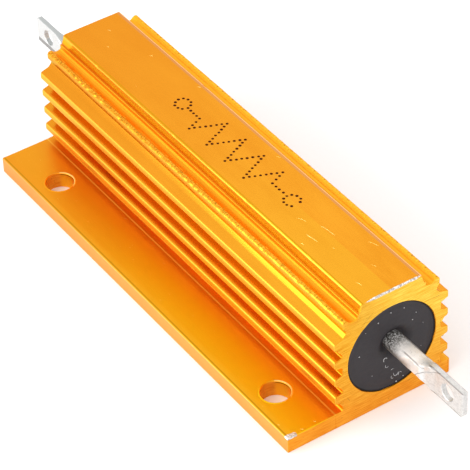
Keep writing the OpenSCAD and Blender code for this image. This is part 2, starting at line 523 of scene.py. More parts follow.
# %% [markdown]
# A table says where the nicks are. Most are drawn by chance along the crest,
# from a fixed seed, so that every run gives the same part. A few deep ones on
# the crest and on the land's edges are listed.

# %% Nicks and ragged edges
nicks = random.Random(41)
crest_nicks = {}
for _ in range(240):
    where = nicks.choice(stations[3:-3])
    busy = 1.0 if where < 5 else 0.6
    crest_nicks[where] = min(0.10, crest_nicks.get(where, 0) + busy * nicks.uniform(0.01, 0.06))
for where in (-36.2, -35.3, -33.9, -32.6, -31.2, -28.7, -20.6, 3.1, 22.4):
    crest_nicks[min(stations, key=lambda s: abs(s - where))] = 0.15

# side, place along the length, depth
edge_nicks = [(-1, -33.2, 0.20), (-1, -8.4, 0.07), (-1, 12.9, 0.06), (1, 16.8, 0.10),
              (1, 27.7, 0.12), (1, -17.4, 0.16), (-1, 31.0, 0.05)]


def nick_depth(x, y, z):
    """How far, in mm, the surface is pushed in at this point."""
    deep = 0.0
    if abs(abs(y) - crest_y - 0.1) < 0.55 and abs(z - crest_z - 0.5) < 0.35:
        deep += crest_nicks.get(x, 0.0) * (1.0 if y < 0 else 0.4)
    for side, where, depth in edge_nicks:
        away = math.hypot((x - where) / 0.8, (y - side * land_half) / 0.5, (z - body_top) / 0.5)
        deep += depth * max(0.0, 1 - away)
    return deep


def ragged(x, y, z):
    """Smooth unevenness from 0 to 1, in waves of about a millimetre."""
    return 0.5 + 0.5 * noise.noise(Vector((x, y, z)) * 0.9)


print(len(crest_nicks), "nicks on the crest,", len(edge_nicks), "on the land")

# %% [markdown]
# The outer skin and the wall of the bore are swept apart, and then each sawn
# face is filled between its outer edge and the bore's rim. At the ends every
# edge is drawn in a little and unevenly, which is the break the saw leaves.
# The small lip beside the land is drawn in less, because it is so thin.

# %% Sweep the body
loops = []
for x in stations:
    at_end = abs(x) == body_half
    loop = []
    for (y, z), hard, soft in zip(outline, normals, soft_normals):
        out = soft if at_end else hard
        pushed = nick_depth(x, y, z)
        if at_end:
            pushed += (0.05 if x > 0 else 0.12) + 0.11 * ragged(x, y * 1.7, z * 1.7)
            if math.hypot(abs(y) - lip_y, z - lip_z) < 0.42:
                pushed = min(pushed, 0.05)
        loop.append((x, y - out.x * pushed, max(0.0, z - out.y * pushed)))
    loops.append(loop)

shell = bmesh.new()
rows = sweep(shell, loops)
bore_steps = [(body_half, 0.13), (body_half - 0.10, 0.04), (body_half - 0.35, 0.0), (body_half - 1.2, 0.0)]
bore_steps += [(-x, flare) for x, flare in reversed(bore_steps)]
bore_loops = []
for x, flare in bore_steps:
    radii = [(a, bore_r + flare * (0.55 + 0.9 * ragged(math.cos(a) * 6, math.sin(a) * 6, x)))
             for a in angles(96)]
    bore_loops.append([(x, r * math.cos(a), bore_z + r * math.sin(a)) for a, r in radii])
bore_rows = sweep(shell, bore_loops)
for outer_row, bore_row in ((rows[-1], bore_rows[0]), (rows[0], bore_rows[-1])):
    rim = [shell.edges.get((row[i], row[(i + 1) % len(row)]))
           for row in (outer_row, bore_row) for i in range(len(row))]
    bmesh.ops.triangle_fill(shell, use_beauty=True, use_dissolve=False, edges=rim)
open_edges = sum(1 for e in shell.edges if len(e.link_faces) != 2)
print("body skin:", len(shell.faces), "faces,", open_edges, "open edges")

# %% [markdown]
# Anodised aluminium is a metal under a thin dyed glass-like skin, and the dye
# filters what the metal mirrors. A metallic surface with a deep golden base
# colour does the same: one bounce looks gold, and two bounces between the fins
# turn deep orange, which painted shade deepens further on. The finish is built
# over the next cells. First the dye's own tone: a soft mottle keeps it from
# looking sprayed on, and fine lines along the length are the die's marks.
# Painted shade darkens it towards the far end.

# %% Gold: the tone of the dye, and painted shade towards the far end
anodised, gold = new_finish("gold_anodised")
place = place_mm(gold)
gx, gy, gz = split(place)
side = abs(gy)
right = step(gy, -0.1, 0.1)
left = 1 - right                        # the side with the flange
mottle = grain(place, (0.10, 0.35, 0.35))
speckle = grain(place, (4.0, 4.0, 4.0), 2.0, 0.7)
lines = grain(place, (0.05, 7.0, 7.0), 3.0, 0.65)
tone = 0.45 * mottle + 0.35 * speckle + 0.20 * lines
colour = blend_colours(step(tone, 0.30, 0.70), (0.73, 0.275, 0.014), (0.82, 0.345, 0.022))
# painted shade: darker towards the far end, where less light falls
colour = coat(colour, (0.75 * fade(gx, -60.0, 28.0), (0.71, 0.245, 0.014)))
print("gold: tone in", len(gold.tree.nodes), "nodes")

# %% [markdown]
# The same dye looks different from place to place, partly because the surface
# under it does and partly through painted light and shade. The wall of the land
# gets a painted highlight, and the floor of the hollow keeps the rough drag of
# the die. A greenish tint paints the highlight on the neck under the crest,
# painted shade darkens the fins on the flange's side, and painted light makes
# the upper side near the near end and the middle of the flange's flat paler.

# %% Gold: land wall, hollow, neck, gaps and flange, with painted light and shade
# painted highlight: the wall of the land is paler
land_wall_highlight = (between(side, land_half - 0.14, land_half - 0.02, crest_y - 0.5, crest_y - 0.1)
             * between(gz, body_top - 1.65, body_top - 1.35, body_top - 0.75, body_top - 0.45))
dragged = (between(side, land_half + 0.35, land_half + 0.75, crest_y - 0.45, crest_y)
           * step(gz, crest_z - 0.6, crest_z - 0.4))
drag = grain(place, (0.03, 5.0, 5.0), 4.0, 0.8)
# painted highlight: a greenish-yellow tint on the neck, where a bright band falls
neck = left * between(side, 8.9, 9.0, 9.5, 9.66) * between(gz, 19.2, 19.5, 20.6, 20.9)
# painted shade: the fins and gaps on the flange's side are darker, more so near the near end
left_fins_shade = (left * between(gz, flange_t + 0.6, flange_t + 2.4, 15.5, 17.0)
                * (0.40 + 0.40 * step(gx, -20.0, 20.0)))
# painted light: the upper side is paler towards the near end
near_top_light = left * step(gz, 17.0, 19.0) * step(gx, -10.0, 40.0)
low_flat = fade(gz, flange_t + 0.05, flange_t + 0.5)
# painted light: the middle of the flange's flat is paler, most towards the near end
flange_middle_light = (step(side, root_half + 1.6, fin_half + 4.4)
                 * (1 - 0.6 * step(side, fin_half + 7.0, flange_reach))
                 * (0.15 + 0.85 * step(gx, -45.0, 20.0)))
colour = coat(colour,
              (land_wall_highlight, (0.80, 0.41, 0.013)),
              (0.8 * dragged, (0.86, 0.41, 0.020)),
              (0.65 * dragged * step(drag, 0.46, 0.60), (0.70, 0.235, 0.008)),
              (neck, (0.58, 0.48, 0.028)),
              (left_fins_shade, (0.66, 0.245, 0.010)),
              (0.40 * near_top_light, (0.80, 0.43, 0.024)),
              (low_flat * flange_middle_light, (0.79, 0.46, 0.008)))
print("gold: places in", len(gold.tree.nodes), "nodes")

# %% [markdown]
# Edges tell most about a dyed metal. The fin tips and the crest are rubbed
# paler, in a tint that also paints their highlight. Beside each long edge runs
# a thin dark line of painted shade, and on the edge itself a painted highlight.
# Each line is a band across the section.

# %% Gold: rubbed tips, and painted shade and highlights beside the edges
fin_tips = between(side, fin_half - 0.18, fin_half - 0.02, fin_half + 0.05, fin_half + 0.2)
crest_side = (between(side, crest_y + 0.44, crest_y + 0.58, crest_y + 0.62, crest_y + 0.7)
              * step(gz, crest_z - 0.5, crest_z - 0.3))
# rubbed paler and painted highlight, in one tint on the fin tips and the crest
worn_and_highlit = fin_tips + 0.55 * crest_side
on_land = step(gz, body_top - 0.3, body_top - 0.1)
# painted shade: a thin dark line inboard of each land edge
left_edge_shade = left * on_land * band(side, land_half - 0.44, land_half - 0.24)
right_edge_shade = right * on_land * band(side, land_half - 0.85, land_half - 0.45, 0.12)
# painted highlight: a pale line on each land edge
right_edge_highlight = right * on_land * band(side, land_half - 0.38, land_half - 0.12)
left_edge_highlight = (left * band(side, land_half - 0.14, land_half + 0.06)
             * band(gz, body_top - 1.15, body_top - 0.25))
# painted highlight: a paler band on the crest's right side
right_crest_highlight = (right * band(side, crest_y - 1.1, crest_y + 0.7)
               * step(gz, crest_z - 0.1, crest_z + 0.1))
rim_y = -flange_reach                   # the flange's long outer edge
# painted shade: a thin dark line inboard of the flange's outer edge
flange_rim_shade = (between(gy, rim_y + 0.20, rim_y + 0.28, rim_y + 0.44, rim_y + 0.54)
               * step(gz, flange_t - 0.12, flange_t - 0.05))
colour = coat(colour,
              (worn_and_highlit * (0.45 + 0.5 * speckle), (0.90, 0.55, 0.070)),
              (0.75 * left_edge_shade, (0.58, 0.28, 0.005)),
              (0.60 * right_edge_shade, (0.58, 0.27, 0.13)),
              (right_edge_highlight, (1.0, 0.62, 0.30)),
              (left_edge_highlight, (0.90, 0.49, 0.045)),
              (0.8 * right_crest_highlight, (0.95, 0.46, 0.026)),
              (0.75 * flange_rim_shade, (0.42, 0.20, 0.006)))
for hole_x in hole_xs:
    in_hole = fade(distance(gx - hole_x, gy - hole_y), hole_r + 0.03, hole_r + 0.09)
    hole_shade = 0.8 * in_hole * band(gz, flange_t - 0.42, flange_t - 0.20)
    colour = coat(colour, (in_hole, (0.98, 0.47, 0.020)), (hole_shade, (0.22, 0.085, 0.008)))
print("gold: edges in", len(gold.tree.nodes), "nodes")

# %% [markdown]
# The two ends are sawn and then dyed with the rest. They have no die lines,
# only the saw's straight marks across the width, and small dark pits where
# chips tore out. Painted light makes them paler at the top, most on the side
# away from the flange, and painted shade darker towards the bottom. Which faces
# are ends is read from the way they face.

# %% Gold: sawn ends and the outer edge of the flange, with painted light and shade
facing_x = split(gold.add("ShaderNodeNewGeometry", out="Normal"))[0]
end_face = step(facing_x * facing_x, 0.55, 0.85)
saw = grain(place, (0.4, 0.25, 6.5), 4.0, 0.7)
cut = step(saw, 0.38, 0.66)
# painted shade low on the sawn face, painted light high up and on the right
shaded_low_cut = blend_colours(cut, (0.78, 0.28, 0.016), (0.92, 0.48, 0.055))
left_cut = blend_colours(cut, (0.76, 0.33, 0.017), (0.91, 0.54, 0.060))
lit_right_cut = blend_colours(cut, (0.86, 0.44, 0.030), (1.0, 0.72, 0.120))
lit_high_cut = blend_colours(step(gy, -9.5, 1.0), left_cut, lit_right_cut)
pits = step(grain(place, (1.0, 2.0, 2.6), 3.0, 0.7), 0.665, 0.70)
sawn = coat(shaded_low_cut, (step(gz, 1.0, 17.0), lit_high_cut), (0.8 * pits, (0.26, 0.095, 0.010)))
# painted highlight: a pale tint on the flange's outer side face
flange_side_highlight = step(-gy, flange_reach - 0.10, flange_reach - 0.02)
colour = coat(colour, (end_face, sawn), (0.5 * flange_side_highlight, (0.80, 0.48, 0.20)))
print("gold: ends in", len(gold.tree.nodes), "nodes")

# %% [markdown]
# Last come the marks of handling, and painted light on the crest. Bare metal
# shows where the near end's top edge and the flange's corner were rubbed, and
# along the nicked crest dark ticks paint shade and bright sparks paint glints.
# The same masks then give the roughness and the bump, so each mark has its own
# shine and depth and isn't only paint.

# %% Gold: bare metal, painted shade and glints on the crest, roughness and relief
rub = grain(place, (1.6, 1.3, 2.6), 3.0, 0.75)
chips = grain(place, (2.6, 2.6, 2.6), 3.0, 0.8)
near_edge = step(gx, body_half - 0.55, body_half + 0.05) * step(gz, body_top - 0.7, body_top - 0.1)
edge_part = 0.45 + 0.55 * between(gy, -5.9, -2.2, 4.6, 5.9)
corner = (step(gx, body_half - 1.5, body_half - 0.5)
          * step(-gy, flange_reach - 2.6, flange_reach - 1.5)
          * step(gz, flange_t - 0.45, flange_t - 0.20))
bare = (step(near_edge * (0.10 + 0.9 * rub + 0.9 * chips) * edge_part, 0.52, 0.60)
        + step(corner * (0.2 + 0.7 * rub + 0.8 * chips), 0.60, 0.68))
bare_metal = blend_colours(step(chips, 0.4, 0.6), (0.42, 0.38, 0.35), (0.90, 0.87, 0.84))
ridge = (between(side, crest_y - 0.35, crest_y, crest_y + 0.62, crest_y + 0.8)
         * step(gz, crest_z + 0.1, crest_z + 0.4))
teeth = grain(place, (5.0, 1.6, 1.6), 2.0, 0.6)
# painted shade in the crest's nicks, and painted glints beside them
nick_shade_ticks = ridge * step(teeth, 0.56, 0.64)
nick_glints = ridge * fade(teeth, 0.38, 0.46)
colour = coat(colour,
              (bare, bare_metal),
              (0.8 * nick_shade_ticks, (0.36, 0.15, 0.010)),
              (0.45 * nick_glints, (0.95, 0.64, 0.07)))
shine = (0.15 + 0.05 * speckle + 0.03 * mottle + 0.22 * end_face + 0.08 * bare
         + 0.26 * dragged + 0.20 * low_flat + 0.22 * worn_and_highlit)
relief = ((1 - end_face) * (0.75 * lines + 0.25 * speckle) + end_face * (1.3 * saw + 0.3 * speckle)
          + 2.2 * dragged * drag + 2.4 * ridge * teeth + 1.5 * bare * chips)
close(gold, {"Base Color": colour, "Metallic": 1.0, "Roughness": shine,
             "Specular Tint": (1.0, 0.74, 0.62, 1.0)}, relief, 0.22)
print("gold finish has", len(gold.tree.nodes), "nodes")

# %% [markdown]
# Two more finishes belong to the gold one. A fresh scratch is bright, where
# the dye is scraped thin, and an old one is dark, because grime has settled in
# it. The bright finish also paints the highlight on the far side of each hole's
# lip, and the dark one paints shade in the corners under the fins. Both are a
# simple mix of two tones by a fine cloud.

# %% Bright and grimy scratches, also used for painted highlight and shade
scraped_and_highlit, bright = new_finish("scratched_metal")
fresh = grain(place_mm(bright), (3.0, 3.0, 3.0), 2.0)
close(bright, {"Base Color": blend_colours(fresh, (0.88, 0.56, 0.10), (0.96, 0.74, 0.30)),
               "Metallic": 1.0, "Roughness": 0.35 + 0.2 * fresh}, fresh)

grime_and_shade, grime_and_shade_tree = new_finish("grimy_scratch")
grime_shade_cloud = grain(place_mm(grime_and_shade_tree), (4.0, 4.0, 4.0), 2.0)
close(grime_and_shade_tree, {"Base Color": blend_colours(grime_shade_cloud, (0.05, 0.022, 0.004), (0.22, 0.10, 0.012)),
              "Metallic": 0.4, "Roughness": 0.55 + 0.2 * grime_shade_cloud}, grime_shade_cloud)
print("scratch finishes:", scraped_and_highlit.name, "and", grime_and_shade.name)

# %% [markdown]
# Two plain holes are drilled through the flange. A round cutter is taken out
# of the body with a boolean, and a thin rolled lip stands round the top of
# each hole, because a drill always pushes up a little metal as it enters.

# %% Body, holes and their lips
body = finish_piece("finned_housing", shell, [anodised], stands_for="housing")
cutters = bmesh.new()
drill = [(hole_r, -1.0), (hole_r, flange_t - 0.10),
         (hole_r + 0.10, flange_t), (hole_r + 0.10, flange_t + 1.0)]
for hole_x in hole_xs:
    turned(cutters, drill, (hole_x, hole_y, 0), (0, 0, 1), 64)
carve(body, cutters)


def wavering(height, least, extra, a, waves, seed):
    """A rim's height at angle a: what stands proud is uneven, the rest is not."""
    if height <= 0:
        return height
    return height * (least + extra * ragged(math.cos(a) * waves, math.sin(a) * waves, seed))


lips = bmesh.new()
lip_profile = ((0.02, -0.10), (0.05, 0.03), (0.13, 0.075), (0.24, 0.04), (0.36, -0.03))
for hole_x in hole_xs:
    sweep(lips, [[(hole_x + (hole_r + out) * math.cos(a), hole_y + (hole_r + out) * math.sin(a),
                   flange_t + wavering(height, 0.55, 0.9, a, 3, hole_x)) for a in angles(72)]
                 for out, height in lip_profile])
# painted highlight: the bright scraped finish on the lip's side next to the fins
for face in lips.faces:                 # the lip is scraped bright on the side next to the fins
    if face.calc_center_median().y / MM > hole_y + 1.3:
        face.material_index = 1
finish_piece("hole_lips", lips, [anodised, scraped_and_highlit])

# %% [markdown]
# The saw also leaves thin flaps hanging in the corners between the fins, and
# a fine raised rim round the bore. They are modelled as real slivers of metal
# a tenth of a millimetre thick.

# %% Saw flaps
flaps = bmesh.new()
flap_rng = random.Random(5)


def flap(x_face, side, z_fin, size):
    """A sliver between the under side of a fin and the root wall."""
    outward_x = 1 if x_face > 0 else -1
    corner_y, corner_z = root_half - 0.1, z_fin - fin_foot + 0.15
    n = 9
    edge = []
    for t in (i / n for i in range(n + 1)):
        hang = corner_z - 1.25 * size * (1 - t) ** 1.15 + 0.28 * t * size
        edge.append((corner_y + 1.15 * size * t, hang + flap_rng.uniform(-0.05, 0.05)))

    def vert(proud, y, z):
        return flaps.verts.new(Vector((x_face + outward_x * proud, side * y, z)) * MM)

    front = [vert(0.05 + 0.05 * math.sin(3 * i / n), *p) for i, p in enumerate(edge)]
    back = [vert(-0.10, *p) for p in edge]
    front_corner, back_corner = (vert(proud, corner_y - 0.1, corner_z + 0.3) for proud in (0.02, -0.10))
    for i in range(n):
        flaps.faces.new((front[i], front[i + 1], front_corner))
        flaps.faces.new((back[i + 1], back[i], back_corner))
        flaps.faces.new((front[i + 1], front[i], back[i], back[i + 1]))
    flaps.faces.new((front[0], front_corner, back_corner, back[0]))
    flaps.faces.new((front_corner, front[-1], back[-1], back_corner))


for end, flap_side, k, size in ((1, -1, 0, 1.0), (1, -1, 2, 0.9), (1, -1, 3, 0.75), (1, 1, 1, 0.6),
                                (-1, -1, 1, 0.7), (-1, 1, 2, 0.8)):
    flap(end * body_half, flap_side, first_z - k * fin_pitch, size)
finish_piece("saw_flaps", flaps, [anodised], edge_angle=20)

# %% [markdown]
# The rim round the bore is one strip, swept through five rings that rise out
# of the sawn face and sink back into it. Its height wavers along the way.

# %% The rim of the bore
rims = bmesh.new()
rim_profile = ((0.02, -0.25), (0.05, -0.02), (0.12, 0.05), (0.20, 0.03), (0.30, -0.04))


def rim_point(end, out, height, a):
    sway = 0.10 * (ragged(math.cos(a) * 9, math.sin(a) * 9, 3) - 0.5)
    return (end * (body_half + wavering(height, 0.3, 1.4, a, 5, end * body_half)),
            (bore_r + out + sway) * math.cos(a), bore_z + (bore_r + out) * math.sin(a))


for end in (1, -1):
    sweep(rims, [[rim_point(end, out, height, a) for a in angles(120)] for out, height in rim_profile])
finish_piece("bore_rims", rims, [anodised])

# %% [markdown]
# Handling leaves scratches and tiny chips. A scratch throws up a hair-thin
# burr of bright metal beside it, so each one is a real ridge a few hundredths
# of a millimetre high, and it catches the light as a pale line.

# %% A burr
hand = random.Random(63)


def burr(mesh, points, width, up=(0, 0, 1), height=0.035):
    """A low three-sided ridge along points; up is the way out of the metal."""
    up = Vector(up)
    path = []
    for p, q in zip(points, points[1:]):
        p, q = Vector(p), Vector(q)
        n = max(1, int((q - p).length / 0.5))
        path += [p.lerp(q, i / n) for i in range(n)]
    path.append(Vector(points[-1]))
    last = len(path) - 1
    loops = []
    for i, p in enumerate(path):
        along = (path[min(i + 1, last)] - path[max(i - 1, 0)]).normalized()
        across = along.cross(up).normalized()
        middle = p + across * hand.uniform(-0.04, 0.04)
        w = width * (0.3 if i in (0, last) else hand.uniform(0.6, 1.2))
        h = height * (0.3 if i in (0, last) else hand.uniform(0.5, 1.2))
        loops.append([middle + across * w - up * 0.03, middle + up * h, middle - across * w - up * 0.03])
    sweep(mesh, loops, capped=True)


print("burrs ready")

# %% [markdown]
# The long scratches on the land are listed one by one, each from one point to
# another with a width. The flange gets many small chips by chance, none of
# them in a hole, and four larger ones near its corner.

# %% Scratches and chips
burrs = bmesh.new()
for x0, y0, x1, y1, width in (
        (25.4, 0.0, 28.9, 0.5, 0.07), (25.9, -3.1, 28.7, -2.7, 0.08), (21.6, -1.9, 23.3, -1.2, 0.05),
        (40.2, -3.6, 41.4, -3.2, 0.05), (-41.3, 1.1, -40.7, 1.4, 0.16), (-17.7, 4.7, -17.1, 5.0, 0.16),
        (27.2, -5.1, 27.9, -4.9, 0.05), (-24.6, -3.6, -23.9, -3.9, 0.05), (33.5, 3.9, 35.2, 4.6, 0.05),
        (6.4, 4.6, 7.1, 4.9, 0.05), (-30.3, 3.0, -29.8, 3.3, 0.05), (31.2, -1.6, 31.7, -1.5, 0.05),
        (38.3, 0.9, 39.1, 1.3, 0.05), (-37.1, -1.7, -36.6, -1.5, 0.06)):
    bowed = ((x0 + x1) / 2, (y0 + y1) / 2 + 0.08, body_top)
    burr(burrs, [(x0, y0, body_top), bowed, (x1, y1, body_top)], width)
for _ in range(60):
    x0, y0 = hand.uniform(-43, 43), hand.uniform(-20.2, -11.8)
    if min(math.hypot(x0 - hole_x, y0 - hole_y) for hole_x in hole_xs) < 3.6:
        continue
    size = hand.uniform(0.08, 0.30)
    chip = [(x0, y0, flange_t), (x0 + size, y0 + hand.uniform(-0.1, 0.1), flange_t)]
    burr(burrs, chip, hand.uniform(0.04, 0.09))
for x0, y0 in ((44.2, -17.5), (44.0, -14.8), (41.2, -19.9), (44.4, -19.9)):
    chip = [(x0, y0 - 0.2, flange_t), (x0 + 0.35, y0, flange_t), (x0 + 0.2, y0 + 0.25, flange_t)]
    burr(burrs, chip, 0.10)
finish_piece("scratches", burrs, [scraped_and_highlit], edge_angle=20)

# %% [markdown]
# The near sawn face has older marks, dark with grime: a few scores round the
# bore. A short dark one in each corner under a fin is painted shade.

# %% Grimy scratches and painted corner shade
dark = bmesh.new()
for path, width in (([(6.6, 18.02), (8.4, 17.9), (10.1, 17.85)], 0.07), ([(-9.0, 5.6), (-8.4, 4.6)], 0.10),
                    ([(-8.3, 6.2), (-8.0, 5.7)], 0.08), ([(8.4, 10.4), (9.3, 10.5)], 0.05),
                    ([(-9.7, 13.9), (-9.3, 13.2)], 0.07), ([(-10.2, 9.9), (-9.6, 9.5)], 0.06),
                    ([(-9.8, 6.3), (-9.5, 5.5)], 0.07), ([(2.0, 2.6), (4.4, 2.75)], 0.04),
                    ([(-6.3, 19.0), (-3.6, 21.2)], 0.04)):
    burr(dark, [(body_half, *p) for p in path], width, (1, 0, 0), 0.02)
# painted shade: a short dark mark in each corner under a fin
for k in range(fin_count):
    under_fin = first_z - k * fin_pitch - fin_foot
    for dark_side in (-1, 1):
        path = [(body_half, dark_side * (root_half + 0.05), under_fin + 0.1),
                (body_half, dark_side * (root_half + 0.6), under_fin + 0.22)]
        burr(dark, path, hand.uniform(0.05, 0.09), (1, 0, 0), 0.02)
finish_piece("grimy_scratches", dark, [grime_and_shade], edge_angle=20)

# %% [markdown]
# The land on top carries a mark made with a dot-peening pin: rows of small
# craters punched into the metal. Here the pin draws a plain circuit symbol,
# the zig-zag of a resistor between two round terminals. Each crater has a
# raised rim and a dark floor, where the pin has broken through the dye.

# %% Where the pin strikes
dot_pitch, zigzag_half, ring_r = 0.97, 3.0, 1.45
symbol = [(-13.6, 0.0), (-9.9, 0.0)]
symbol += [(-8.7 + 2.75 * k, zigzag_half if k % 2 else -zigzag_half) for k in range(8)]
symbol += [(11.9, 0.0), (16.0, 0.0)]
dots = []
for (x0, y0), (x1, y1) in zip(symbol, symbol[1:]):
    n = max(1, round(math.hypot(x1 - x0, y1 - y0) / dot_pitch))
    dots += [(x0 + (x1 - x0) * i / n, y0 + (y1 - y0) * i / n) for i in range(n)]
dots.append(symbol[-1])
for ring_x in (-15.1, 17.5):
    dots += [(ring_x + ring_r * math.cos(a), ring_r * math.sin(a)) for a in angles(10)[1:]]
print(len(dots), "dots to punch")

# %% [markdown]
# No two strikes are the same, so each crater is moved and sized a little by a
# seeded draw. A crater is five rings and a cap; the inner rings take the dark
# finish of the broken dye, and the outer ones stay gold.

# %% Dot-peened symbol
burnt, dot = new_finish("peened_floor")
soot = grain(place_mm(dot), (5.0, 5.0, 5.0), 2.0)
close(dot, {"Base Color": blend_colours(soot, (0.032, 0.005, 0.002), (0.075, 0.014, 0.003)),
            "Metallic": 0.0, "Roughness": 0.9, "Specular IOR Level": 0.03}, soot, 0.4)

pin = random.Random(19)
marks = bmesh.new()
crater_sides = 14
crater_profile = ((0.38, -0.01), (0.325, 0.022), (0.275, 0.013), (0.17, 0.006), (0.07, 0.004))
floors = []
for dot_x, dot_y in dots:
    dot_x, dot_y = dot_x + pin.uniform(-0.05, 0.05), dot_y + pin.uniform(-0.05, 0.05)
    size = pin.uniform(0.9, 1.08)
    crater = sweep(marks, [[(dot_x + r * size * math.cos(a), dot_y + r * size * 0.95 * math.sin(a),
                             body_top + h) for a in angles(crater_sides)] for r, h in crater_profile])
    floors.append(marks.faces.new(crater[-1]))
    for row, following in zip(crater[2:], crater[3:]):
        for i in range(crater_sides):
            j = (i + 1) % crater_sides
            floors.append(marks.faces.get((row[i], row[j], following[j], following[i])))
for face in floors:
    face.material_index = 1
finish_piece("peened_symbol", marks, [anodised, burnt])

# %% [markdown]
# Black resin closes both ends of the bore. Resin is never one black: its skin
# is greyer where filler lies under it and rougher in patches. Painted shade makes
# it darkest in a ring along the wall, where it has shrunk away from the metal.

# %% Black resin finish
resin, tar = new_finish("black_resin")
place = place_mm(tar)
skin = grain(place, (1.6, 1.6, 1.6), 4.0, 0.6)
pores = grain(place, (6.0, 6.0, 6.0), 2.0, 0.6)
_, resin_y, resin_z = split(place)
# painted shade: a black ring in the shrink gap along the wall
gap_shade = step(distance(resin_y, resin_z - bore_z), bore_r - 0.34, bore_r - 0.10)
tar_colour = blend_colours(skin, (0.009, 0.007, 0.009), (0.034, 0.028, 0.032))
tar_colour = coat(tar_colour, (gap_shade, (0.0015, 0.001, 0.001)))
close(tar, {"Base Color": tar_colour, "Roughness": 0.50 + 0.22 * skin + 0.2 * gap_shade,
            "Specular IOR Level": 0.38}, 0.6 * skin + 0.4 * pores, 0.35, 0.12)
print("resin finish has", len(tar.tree.nodes), "nodes")

# %% [markdown]
# The resin is poured, so it climbs a little where it wets the wall, sinks into
# a dimple round the terminal, and keeps small ripples and a few threads on its
# skin. All of that is one height above a flat face. The plug is swept from
# rings that open from the rod's outline to the wall of the bore.

# %% Black resin plugs
dimple_deep, recess, plug_length = 0.95, 0.25, 4.0


def resin_lift(p, rod, end, threads):
    """How far the skin stands above the flat face at p, in mm."""
    from_rod = (p - rod).length - rod_r
    from_wall = bore_r - (p - Vector((0, bore_z))).length
    lift = -dimple_deep * max(0.0, 1 - max(0.0, from_rod - 0.25) / 1.5) ** 1.6
    lift += 0.16 * math.exp(-from_wall / 0.35) * ragged(p.x * 0.8, p.y * 0.8, end * 9)
    lift -= 0.10 * math.exp(-((from_wall - 0.75) / 0.45) ** 2)
    swell, ripple = ragged(p.x * 0.35, p.y * 0.35, end * 5), ragged(p.x * 1.6, p.y * 1.6, end)
    lift += 0.16 * (swell - 0.5) + 0.05 * (ripple - 0.5)
    for thread_y, thread_z, lean in threads:
        dy, dz = p.x - thread_y, p.y - bore_z - thread_z
        u = dy * math.cos(lean) + dz * math.sin(lean)
        w = dz * math.cos(lean) - dy * math.sin(lean) + 0.25 * math.sin(4 * u)
        if abs(u) < 1.1:
            lift += 0.09 * math.exp(-(w / 0.14) ** 2)
    return lift


def resin_plug(name, node, end, rod_y, rod_z):
    """A plug whose face looks along end (+1 or -1 on x), round a rod."""
    face_x = end * (body_half - recess)
    rod = Vector((rod_y, rod_z))
    wander = random.Random(23 if end > 0 else 31)
    threads = [(wander.uniform(-2.5, 2.5), wander.uniform(-7.0, -3.6), wander.uniform(0, 3.1))
               for _ in range(4)]
    rings = 34
    wall = [Vector((bore_r * math.cos(a), bore_z + bore_r * math.sin(a))) for a in angles(120)]
    rod_edge = [Vector((rod_y + (rod_r - 0.05) * math.cos(a), rod_z + (rod_r - 0.05) * math.sin(a)))
                for a in angles(120)]
    loops = []
    for k in range(rings + 1):
        loop = []
        for p in (start.lerp(end_point, k / rings) for start, end_point in zip(rod_edge, wall)):
            lift = resin_lift(p, rod, end, threads)
            if k == rings:
                lift = min(lift, 0.18)
            loop.append((face_x + end * min(lift, recess - 0.02), p.x, p.y))
        loops.append(loop)
    loops.append([(face_x - end * plug_length, bore_r * math.cos(a), bore_z + bore_r * math.sin(a))
                  for a in angles(120)])
    plug = bmesh.new()
    sweep(plug, loops)
    finish_piece(name, plug, [resin], node, 60)


resin_plug("resin_plug_near", "end_seal_near", 1, near_y, near_z)

# %% [markdown]
# Where the resin dripped as it was poured, thin threads and specks of it have
# cured on the near face. They are glossy beside the dull skin, and pale, partly
# in their own tone and partly as painted highlight. Each is a fine six-sided
# bead laid along a few points. The far plug comes after.

# %% Threads and droplets, and the far plug
drop, gloss = new_finish("cured_droplets")
wisp = grain(place_mm(gloss), (3.0, 3.0, 3.0), 2.0)
# the pale tone is partly painted highlight on the threads
close(gloss, {"Base Color": blend_colours(wisp, (0.30, 0.29, 0.30), (0.80, 0.79, 0.80)),
              "Roughness": 0.2 + 0.2 * wisp}, wisp)

beads = bmesh.new()


def thread(points, radius):
    """A fine bead laid along points, thin at both ends; each ring is a hexagon."""
    last = len(points) - 1
    loops = []
    for i, p in enumerate(points):
        along = (Vector(points[min(last, i + 1)]) - Vector(points[max(0, i - 1)])).normalized()
        across = along.cross(Vector((0.3, 0.2, 1.0))).normalized()
        up = along.cross(across)
        thin = radius * (0.35 if i in (0, last) else 1.0)
        loops.append([Vector(p) + (across * math.cos(a) + up * math.sin(a)) * thin for a in angles(6)])
    sweep(beads, loops, capped=True)


drip = random.Random(77)
bead_x = body_half - recess + 0.03
for y0, z0, turn, size in ((-1.2, 9.4, 0.4, 0.45), (-0.9, 8.0, 2.4, 0.40), (0.2, 6.3, 1.0, 0.45),
                           (0.9, 5.5, 2.9, 0.60), (1.7, 4.9, 0.2, 0.40), (0.2, 5.0, 1.9, 0.35)):
    curl = [(bead_x + 0.03 * math.sin(i), y0 + size * math.cos(turn + 0.42 * i) * 0.8,
             z0 + size * math.sin(turn + 0.42 * i)) for i in range(9)]
    thread(curl, drip.uniform(0.03, 0.06))
for y0, z0 in ((2.5, 18.7), (-0.1, 19.0), (-5.1, 17.3), (4.2, 15.3), (4.9, 16.5), (-6.4, 12.9), (5.9, 8.8),
               (3.6, 5.2), (-3.9, 7.4), (0.9, 3.6), (2.3, 4.1), (-2.6, 18.1), (6.3, 13.6)):
    size = drip.uniform(0.045, 0.11)
    thread([(bead_x + 0.05, y0 - size, z0), (bead_x + 0.06, y0, z0 + size * 0.3),
            (bead_x + 0.05, y0 + size, z0 + size)], size)
finish_piece("cured_droplets", beads, [drop], edge_angle=60)
resin_plug("resin_plug_far", "end_seal_far", -1, far_y, far_z)

